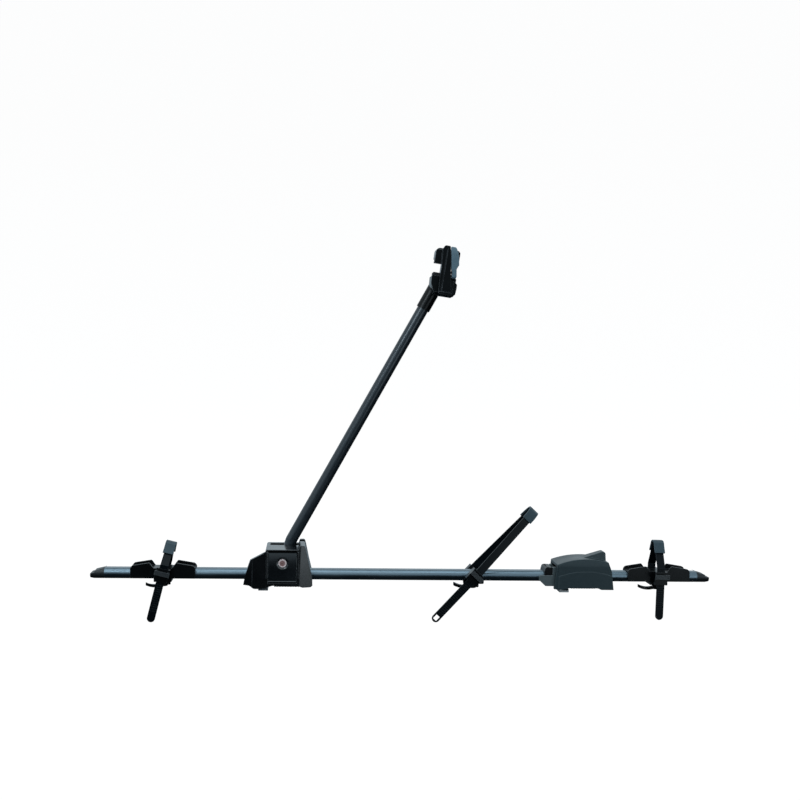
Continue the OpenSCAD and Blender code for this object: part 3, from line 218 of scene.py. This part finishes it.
def break_edges(shape, width, steps, outside=False, clear=1e-4):
    """Rounds the crisp edges of a shape, all or only the outer ones, and marks the new faces as edge."""
    mark = shape.faces.layers.float.new(edge_mark)
    crisp = [e for e in shape.edges if len(e.link_faces) == 2 and e.calc_face_angle() > crisp_angle]
    if outside:
        walls = BVHTree.FromBMesh(shape)
        inner = {
            f for f in shape.faces
            if walls.ray_cast(f.calc_center_median() + clear * f.normal, f.normal)[0]
        }
        crisp = [e for e in crisp if not inner.intersection(e.link_faces)]
    broken = bmesh.ops.bevel(
        shape, geom=crisp, offset=width, offset_type="OFFSET", segments=steps, profile=0.5,
        affect="EDGES", clamp_overlap=False, material=-1,
    )
    for face in broken["faces"]:
        face[mark] = 1.0


def put_in_place(node, shape, material):
    """Makes a piece from a shape, on a CAD node's body and in that node's place."""
    for face in shape.faces:
        face.smooth = True
        face.material_index = 0
    for edge in shape.edges:
        edge.smooth = len(edge.link_faces) == 2 and edge.calc_face_angle() < sharp_angle
    piece = object_from(node + "_finished", shape, material)
    even = piece.modifiers.new("even_shading", "WEIGHTED_NORMAL")
    even.keep_sharp = True
    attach(piece, frame["nodes"][node]["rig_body"])
    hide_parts(node)


def finish_piece(node, material, width=0.0006, steps=2, outside=False, detail=None):
    """Gives a CAD node's own shape broken edges and, where asked, finer detail."""
    shape = cad_shape(node)
    break_edges(shape, width, steps, outside)
    if detail:
        detail(shape)
    put_in_place(node, shape, material)


def group_with(name, inputs, outputs):
    """Empty shader group with float sockets of the given names and default values."""
    group = bpy.data.node_groups.new(name, "ShaderNodeTree")
    for label, value in inputs:
        socket = group.interface.new_socket(label, in_out="INPUT", socket_type="NodeSocketFloat")
        socket.default_value = value
    for label in outputs:
        group.interface.new_socket(label, in_out="OUTPUT", socket_type="NodeSocketFloat")
    return group, group.nodes.new("NodeGroupInput"), group.nodes.new("NodeGroupOutput")


# Grain of a moulded or coated skin: fine pebbles for the bump and a slow drift of tone
skin_grain, grain_in, grain_out = group_with(
    "skin_grain", inputs=[("Pebbles", 1800.0), ("Drift", 14.0)], outputs=["Height", "Tone"]
)
grain_place = skin_grain.nodes.new("ShaderNodeTexCoord")
grain_cells = skin_grain.nodes.new("ShaderNodeTexVoronoi")
grain_cells.feature = "SMOOTH_F1"
grain_drift = skin_grain.nodes.new("ShaderNodeTexNoise")
grain_drift.inputs["Detail"].default_value = 6.0
skin_grain.links.new(grain_place.outputs["Object"], grain_cells.inputs["Vector"])
skin_grain.links.new(grain_place.outputs["Object"], grain_drift.inputs["Vector"])
skin_grain.links.new(grain_in.outputs["Pebbles"], grain_cells.inputs["Scale"])
skin_grain.links.new(grain_in.outputs["Drift"], grain_drift.inputs["Scale"])
skin_grain.links.new(grain_cells.outputs["Distance"], grain_out.inputs["Height"])
skin_grain.links.new(grain_drift.outputs["Fac"], grain_out.inputs["Tone"])

# Edge wear and painted highlight: the broken edges of a piece take a lighter colour, more in some places than
# in others, that is partly rubbed wear and partly painted highlight
edge_rub, wear_and_highlight_in, wear_and_highlight_out = group_with("edge_rub", inputs=[("Amount", 0.5)], outputs=["Rubbed"])
wear_and_highlight_place = edge_rub.nodes.new("ShaderNodeTexCoord")
wear_and_highlight_edge = edge_rub.nodes.new("ShaderNodeAttribute")
wear_and_highlight_edge.attribute_name = edge_mark
wear_and_highlight_patches = edge_rub.nodes.new("ShaderNodeTexNoise")
wear_and_highlight_patches.inputs["Scale"].default_value = 60.0
wear_and_highlight_patches.inputs["Detail"].default_value = 4.0
wear_and_highlight_range = edge_rub.nodes.new("ShaderNodeMapRange")
wear_and_highlight_range.inputs["From Min"].default_value = 0.35
wear_and_highlight_range.inputs["From Max"].default_value = 0.65
wear_and_highlight_range.inputs["To Min"].default_value = 0.35
wear_and_highlight_by_edge = edge_rub.nodes.new("ShaderNodeMath")
wear_and_highlight_by_edge.operation = "MULTIPLY"
wear_and_highlight_by_amount = edge_rub.nodes.new("ShaderNodeMath")
wear_and_highlight_by_amount.operation = "MULTIPLY"
edge_rub.links.new(wear_and_highlight_place.outputs["Object"], wear_and_highlight_patches.inputs["Vector"])
edge_rub.links.new(wear_and_highlight_patches.outputs["Fac"], wear_and_highlight_range.inputs["Value"])
edge_rub.links.new(wear_and_highlight_range.outputs["Result"], wear_and_highlight_by_edge.inputs[0])
edge_rub.links.new(wear_and_highlight_edge.outputs["Fac"], wear_and_highlight_by_edge.inputs[1])
edge_rub.links.new(wear_and_highlight_by_edge.outputs["Value"], wear_and_highlight_by_amount.inputs[0])
edge_rub.links.new(wear_and_highlight_in.outputs["Amount"], wear_and_highlight_by_amount.inputs[1])
edge_rub.links.new(wear_and_highlight_by_amount.outputs["Value"], wear_and_highlight_out.inputs["Rubbed"])

gloss_spread = 0.07


def skin(
    name, colour, drifted, wear_and_highlight_colour, gloss,
    metal=0.0, coat=0.0, shine=0.5, rub=0.5, pebbles=1800.0, depth=0.00003,
):
    """Finish of one kind of piece: drifting colour, lighter edges that are partly wear and partly painted
    highlight, grained bump and uneven gloss.
    """
    material = bpy.data.materials.new(name)
    material.use_nodes = True
    nodes, links = material.node_tree.nodes, material.node_tree.links
    shader = nodes["Principled BSDF"]
    shader.inputs["Metallic"].default_value = metal
    shader.inputs["Coat Weight"].default_value = coat
    shader.inputs["Specular IOR Level"].default_value = shine
    shader.inputs["Coat Roughness"].default_value = 0.12
    grain = nodes.new("ShaderNodeGroup")
    grain.node_tree = skin_grain
    grain.inputs["Pebbles"].default_value = pebbles
    wear_and_highlight = nodes.new("ShaderNodeGroup")
    wear_and_highlight.node_tree = edge_rub
    wear_and_highlight.inputs["Amount"].default_value = rub
    tint = nodes.new("ShaderNodeMix")
    tint.data_type = "RGBA"
    tint.inputs["A"].default_value = (*colour, 1)
    tint.inputs["B"].default_value = (*drifted, 1)
    # The broken edges take the lighter edge colour, partly wear and partly painted highlight
    tinted_edge = nodes.new("ShaderNodeMix")
    tinted_edge.data_type = "RGBA"
    tinted_edge.inputs["B"].default_value = (*wear_and_highlight_colour, 1)
    links.new(grain.outputs["Tone"], tint.inputs["Factor"])
    links.new(tint.outputs["Result"], tinted_edge.inputs["A"])
    links.new(wear_and_highlight.outputs["Rubbed"], tinted_edge.inputs["Factor"])
    links.new(tinted_edge.outputs["Result"], shader.inputs["Base Color"])
    uneven = nodes.new("ShaderNodeMapRange")
    uneven.inputs["From Min"].default_value = 0.3
    uneven.inputs["From Max"].default_value = 0.7
    uneven.inputs["To Min"].default_value = gloss - gloss_spread
    uneven.inputs["To Max"].default_value = gloss + gloss_spread
    links.new(grain.outputs["Tone"], uneven.inputs["Value"])
    links.new(uneven.outputs["Result"], shader.inputs["Roughness"])
    bump = nodes.new("ShaderNodeBump")
    bump.inputs["Strength"].default_value = 0.5
    bump.inputs["Distance"].default_value = depth
    links.new(grain.outputs["Height"], bump.inputs["Height"])
    links.new(bump.outputs["Normal"], shader.inputs["Normal"])
    return material


rail_coating = skin(
    "rail_coating",
    colour=(0.140, 0.195, 0.235), drifted=(0.172, 0.230, 0.272), wear_and_highlight_colour=(0.32, 0.38, 0.42),
    gloss=0.36, metal=1.0, coat=0.15, rub=0.6, pebbles=2600.0, depth=0.00001,
)
cap_moulding = skin(
    "cap_moulding",
    colour=(0.014, 0.017, 0.019), drifted=(0.020, 0.024, 0.026), wear_and_highlight_colour=(0.09, 0.10, 0.105),
    gloss=0.42, shine=0.4,
)
finish_piece("rail", rail_coating, width=0.0004)
for end in ("front_end_cap", "rear_end_cap"):
    finish_piece(end, cap_moulding, width=0.0008)


# Front foot: moulded housing over a clamp body, with a locked door on the near side that hangs on a steel
# pin. Four screws from below hold housing and clamp body together round the rail.

black_moulding = skin(
    "black_moulding",
    colour=(0.002, 0.0025, 0.003), drifted=(0.004, 0.005, 0.006), wear_and_highlight_colour=(0.050, 0.056, 0.062),
    gloss=0.28, shine=0.2,
)
pale_moulding = skin(
    "pale_moulding",
    colour=(0.075, 0.100, 0.106), drifted=(0.09, 0.115, 0.122), wear_and_highlight_colour=(0.32, 0.36, 0.37),
    gloss=0.28, shine=0.8,
)
rubber = skin(
    "rubber",
    colour=(0.010, 0.010, 0.011), drifted=(0.016, 0.016, 0.017), wear_and_highlight_colour=(0.05, 0.05, 0.052),
    gloss=0.72, depth=0.00006,
)
zinc_plate = skin(
    "zinc_plate",
    colour=(0.52, 0.54, 0.55), drifted=(0.60, 0.61, 0.61), wear_and_highlight_colour=(0.74, 0.74, 0.73),
    gloss=0.30, metal=1.0, pebbles=900.0, depth=0.000012,
)
black_steel = skin(
    "black_steel",
    colour=(0.012, 0.012, 0.013), drifted=(0.02, 0.02, 0.021), wear_and_highlight_colour=(0.06, 0.06, 0.062),
    gloss=0.40, metal=0.8,
)
lock_plate = skin(
    "lock_plate",
    colour=(0.88, 0.70, 0.69), drifted=(0.92, 0.75, 0.74), wear_and_highlight_colour=(0.96, 0.86, 0.85),
    gloss=0.28, metal=0.15, depth=0.000008,
)
lock_core = skin(
    "lock_core",
    colour=(0.40, 0.22, 0.21), drifted=(0.46, 0.27, 0.26), wear_and_highlight_colour=(0.70, 0.50, 0.48),
    gloss=0.30, metal=0.3, depth=0.000008,
)
housing_moulding = skin(
    "housing_moulding",
    colour=(0.002, 0.0025, 0.003), drifted=(0.004, 0.005, 0.006), wear_and_highlight_colour=(0.070, 0.078, 0.086),
    gloss=0.21, shine=0.8,
)
door_moulding = skin(
    "door_moulding",
    colour=(0.003, 0.005, 0.006), drifted=(0.005, 0.007, 0.009), wear_and_highlight_colour=(0.080, 0.092, 0.10),
    gloss=0.18, shine=1.0,
)


def cut_across(shape, point, direction):
    """Cuts every face of a shape along the plane through a point, square to a direction."""
    bmesh.ops.bisect_plane(
        shape, geom=[*shape.verts, *shape.edges, *shape.faces], dist=1e-6, plane_co=point, plane_no=direction
    )


upwards = Vector((0, 0, 1))
lengthwise = Vector((1, 0, 0))
door_near = -0.046
door_skin = 0.0015
bow_low = 0.034
bow_high = 0.085
bow_depth = 0.0042
bow_cuts = 10


def bow_door(shape):
    """Lets the upper half of the door's near face fall back in a bow."""
    for i in range(bow_cuts):
        cut_across(shape, upwards * (bow_low + (bow_high - bow_low) * i / bow_cuts), upwards)
    for vert in shape.verts:
        if door_near - 1e-5 < vert.co.y < door_near + door_skin and vert.co.z > bow_low:
            vert.co.y += bow_depth * ((vert.co.z - bow_low) / (bow_high - bow_low)) ** 2


def groove(shape, along, pitch, depth, facing, share=0.3, near_middle=0.02, least_facing=0.5):
    """V grooves across the faces of a shape that look one way, a pitch apart along a direction."""
    reach = [v.co.dot(along) for v in shape.verts]
    count = int((max(reach) - min(reach)) / pitch)
    first = (min(reach) + max(reach) - (count - 1) * pitch) / 2
    for i in range(count):
        for beside in (-share, 0.0, share):
            cut_across(shape, along * (first + (i + beside) * pitch), along)
    shape.normal_update()
    for vert in shape.verts:
        turn = (vert.co.dot(along) - first) / pitch
        if abs(turn - round(turn)) < near_middle and vert.normal.dot(facing) > least_facing:
            vert.co -= vert.normal * depth


def tread(shape):
    """Grooves under a rubber pad, where it grips the roof bar."""
    groove(shape, lengthwise, pitch=0.006, depth=0.0012, facing=-upwards)


def solid_boxes(node):
    """Lowest and highest corner of each separate solid in a CAD node."""
    shape = cad_shape(node)
    seen = set()
    corners = []
    for first in shape.verts:
        if first in seen:
            continue
        island = [first]
        seen.add(first)
        for vert in island:
            for edge in vert.link_edges:
                beyond = edge.other_vert(vert)
                if beyond not in seen:
                    seen.add(beyond)
                    island.append(beyond)
        corners.append([Vector([f(v.co[i] for v in island) for i in range(3)]) for f in (min, max)])
    shape.free()
    return corners


def lobed_screws(node, material, head_height, looks):
    """Screws with a six-lobed recess in their heads, which look up (1) or down (-1)."""
    lobes = 6
    lobe_swell = 0.16
    chamfer = 0.2 * head_height
    recess_depth = 0.7 * head_height
    shape = bmesh.new()
    for low, high in solid_boxes(node):
        head = (high.x - low.x) / 2
        recess = 0.5 * head
        shank = 0.47 * head
        long = high.z - low.z
        foot = Vector(((low.x + high.x) / 2, (low.y + high.y) / 2, low.z if looks < 0 else high.z))
        half_section = [
            (0, long), (shank, long), (shank, head_height), (head, head_height), (head, chamfer),
            (head - chamfer, 0), (recess, 0), (recess, recess_depth), (0, recess_depth),
        ]
        spin_section(shape, half_section, foot, steps=24, rise=-looks)
        for vert in shape.verts:
            out = (vert.co - foot) * Vector((1, 1, 0))
            if abs(out.length - recess) < 1e-6:
                vert.co += out * lobe_swell * math.cos(lobes * math.atan2(out.y, out.x))
    close_up(shape, weld=1e-6)
    break_edges(shape, width=0.00012, steps=1)
    put_in_place(node, shape, material)


def threaded_rod(node, material, lead, starts, depth, steps=20):
    """Upright rod with the given number of thread starts wound round its core."""
    shape = bmesh.new()
    [(low, high)] = solid_boxes(node)
    foot = Vector(((low.x + high.x) / 2, (low.y + high.y) / 2, low.z))
    radius = (high.x - low.x) / 2
    long = high.z - low.z
    bmesh.ops.create_cone(
        shape, cap_ends=True, segments=32, radius1=radius - depth, radius2=radius - depth, depth=long,
        matrix=Matrix.Translation(foot + Vector((0, 0, long / 2))),
    )
    thread_root = radius - 1.5 * depth
    ridge = lead / starts * 0.8
    turns = int((long - ridge) / lead)
    for start in range(starts):
        angle = math.tau * start / starts
        out = Vector((math.cos(angle), math.sin(angle), 0))
        corners = [
            shape.verts.new(foot + out * r + Vector((0, 0, z)))
            for r, z in ((thread_root, 0), (radius, ridge / 2), (thread_root, ridge))
        ]
        face = shape.faces.new(corners)
        bmesh.ops.spin(
            shape, geom=[face, *face.edges, *face.verts], cent=foot, axis=(0, 0, 1),
            dvec=(0, 0, lead / steps), angle=math.tau * turns, steps=steps * turns,
        )
        # The spin can take the first face along, so the thread's lower end is closed again
        if not any(len(f.verts) == 3 for f in corners[0].link_faces):
            shape.faces.new(corners)
    bmesh.ops.recalc_face_normals(shape, faces=shape.faces)
    break_edges(shape, width=0.0001, steps=1)
    put_in_place(node, shape, material)


finish_piece("front_foot_shell", housing_moulding, width=0.0008)
finish_piece("front_clamp_knob", black_moulding, width=0.0008)
finish_piece("front_access_door", door_moulding, width=0.0008, detail=bow_door)
finish_piece("front_saddle", pale_moulding)
finish_piece("front_bar_pad", rubber, detail=tread)
finish_piece("front_door_pin", black_steel, width=0.0003)
finish_piece("front_claw", zinc_plate, width=0.0003)
lobed_screws("front_foot_screws", zinc_plate, head_height=0.002, looks=-1)
threaded_rod("front_clamp_bolt", zinc_plate, lead=0.004, starts=2, depth=0.0006)
finish_piece("front_lock_ring", lock_plate, width=0.0003)
finish_piece("front_lock_plug", lock_core, width=0.0003)


# Frame arm: bent steel tube on a forged eye that turns on a bolt inside the front foot. A moulded socket
# closes its upper end and carries the clamp head.

arm_coating = skin(
    "arm_coating",
    colour=(0.022, 0.031, 0.040), drifted=(0.029, 0.038, 0.047), wear_and_highlight_colour=(0.12, 0.135, 0.15),
    gloss=0.33, metal=0.35, coat=0.25, pebbles=2600.0, depth=0.000012,
)
nylon = skin(
    "nylon",
    colour=(0.55, 0.53, 0.46), drifted=(0.62, 0.60, 0.53), wear_and_highlight_colour=(0.7, 0.68, 0.6),
    gloss=0.45,
)
for node in ("arm_bracket", "arm_pivot_bolt"):
    finish_piece(node, zinc_plate, width=0.0004)
finish_piece("arm_bushes", nylon, width=0.0002)
for node in ("arm_root", "arm_tube"):
    finish_piece(node, arm_coating, width=0.0004)
finish_piece("arm_collar", black_moulding, width=0.0008)


# Clamp head: a lower jaw that tilts on the arm, a hook that swings down to it on a steel pin, and a grey
# lever on the hook's near slab that closes it. Rubber pads line both jaws, which grip a round tube.

slate_moulding = skin(
    "slate_moulding",
    colour=(0.105, 0.172, 0.214), drifted=(0.130, 0.200, 0.246), wear_and_highlight_colour=(0.27, 0.35, 0.40),
    gloss=0.28, shine=0.5,
)
# The head's lighter edge colour is mostly painted highlight: the light lines along the head's edges
head_moulding = skin(
    "head_moulding",
    colour=(0.0012, 0.0016, 0.002), drifted=(0.002, 0.003, 0.004), wear_and_highlight_colour=(0.11, 0.12, 0.13),
    gloss=0.25, shine=0.2, rub=0.6,
)
farwards = Vector((0, 1, 0))
hook_axis = next(Vector(j["axis"]) for j in frame["joints"] if j["name"] == "jaw_swing")
head_along = -hook_axis
head_up = head_along.cross(farwards)
waist_low = 0.0125
waist_high = 0.0165
waist_skin = 0.0015
waist_fill = 0.0026


def fill_out(shape):
    """Brings the back of the lever's waist up to the edge of the slab beside it."""
    lowest = min(v.co.dot(head_up) for v in shape.verts)
    waist = [v for v in shape.verts if waist_low < v.co.dot(head_up) - lowest < waist_high]
    front = min(v.co.dot(head_along) for v in waist)
    middle = (min(v.co.y for v in waist) + max(v.co.y for v in waist)) / 2
    for vert in waist:
        if vert.co.y > middle and vert.co.dot(head_along) < front + waist_skin:
            vert.co -= waist_fill * head_along


def longest(shape):
    """Direction of the longest edge of a shape."""
    edge = max(shape.edges, key=lambda e: e.calc_length())
    return (edge.verts[1].co - edge.verts[0].co).normalized()


def jaw_ribs(shape):
    """Grooves across a jaw liner, where it grips the round tube."""
    along = longest(shape)
    inward = along.cross(farwards)
    hollow = min(shape.faces, key=lambda f: abs(f.calc_center_median().y)).normal
    groove(shape, along, pitch=0.005, depth=0.0007, facing=inward if inward.dot(hollow) > 0 else -inward)


for node in ("head_body", "jaw_hook"):
    finish_piece(node, head_moulding, width=0.0009, steps=3)
finish_piece("clamp_lever", slate_moulding, width=0.0009, steps=3, detail=fill_out)
for node in ("lower_jaw_pad", "upper_jaw_pad"):
    finish_piece(node, rubber, detail=jaw_ribs)
for node in ("head_pivot_bolt", "hook_hinge_pin"):
    finish_piece(node, zinc_plate, width=0.0003)
finish_piece("lever_pin", black_steel, width=0.0003)


# Rear foot: a clamp body that slides on the rail under a finned cover. A black bridge ties its two sides
# together over the rail, and the knob under the cover winds up the claw.

cover_moulding = skin(
    "cover_moulding",
    colour=(0.024, 0.039, 0.046), drifted=(0.032, 0.048, 0.055), wear_and_highlight_colour=(0.10, 0.125, 0.135),
    gloss=0.34, shine=0.25,
)
finish_piece("rear_cover", cover_moulding, width=0.0009, steps=3, outside=True)
for node in ("rear_rail_bridge", "rear_clamp_knob"):
    finish_piece(node, black_moulding, width=0.0007)
finish_piece("rear_saddle", pale_moulding)
finish_piece("rear_bar_pad", rubber, detail=tread)
finish_piece("rear_claw", zinc_plate, width=0.0003)
lobed_screws("rear_bridge_screws", zinc_plate, head_height=0.003, looks=1)
threaded_rod("rear_clamp_bolt", zinc_plate, lead=0.004, starts=2, depth=0.0006)


# Strap units: three moulded riders on the rail, each with a ladder strap. The strap runs up from an anchor on
# the far side, under a soft pad at its top, and down through a buckle whose sprung pawl holds its teeth.

strap_moulding = skin(
    "strap_moulding",
    colour=(0.002, 0.004, 0.0055), drifted=(0.004, 0.006, 0.008), wear_and_highlight_colour=(0.04, 0.05, 0.06),
    gloss=0.32, shine=0.12,
)
pad_moulding = skin(
    "pad_moulding",
    colour=(0.034, 0.058, 0.071), drifted=(0.043, 0.068, 0.085), wear_and_highlight_colour=(0.11, 0.145, 0.165),
    gloss=0.42, shine=0.2,
)
grey_moulding = skin(
    "grey_moulding",
    colour=(0.018, 0.022, 0.025), drifted=(0.026, 0.030, 0.034), wear_and_highlight_colour=(0.18, 0.20, 0.21),
    gloss=0.34,
)


def thumb_ribs(shape):
    """Grooves across the near face of a pawl's tab."""
    groove(shape, longest(shape).cross(farwards), pitch=0.0022, depth=0.0005, facing=-farwards)


riders = {"front": "front_cradle", "middle": "middle_saddle", "rear": "rear_cradle"}
for unit, rider in riders.items():
    finish_piece(rider, black_moulding, width=0.0007)
    finish_piece(unit + "_strap", strap_moulding, width=0.0003)
    finish_piece(unit + "_rim_pad", pad_moulding, width=0.0008)
    finish_piece(unit + "_buckle", black_moulding, width=0.0006)
    finish_piece(unit + "_anchor", black_moulding, width=0.0006)
    finish_piece(unit + "_pawl", grey_moulding, width=0.0004, detail=thumb_ribs)
    finish_piece(unit + "_clamp_key", black_moulding, width=0.0006)
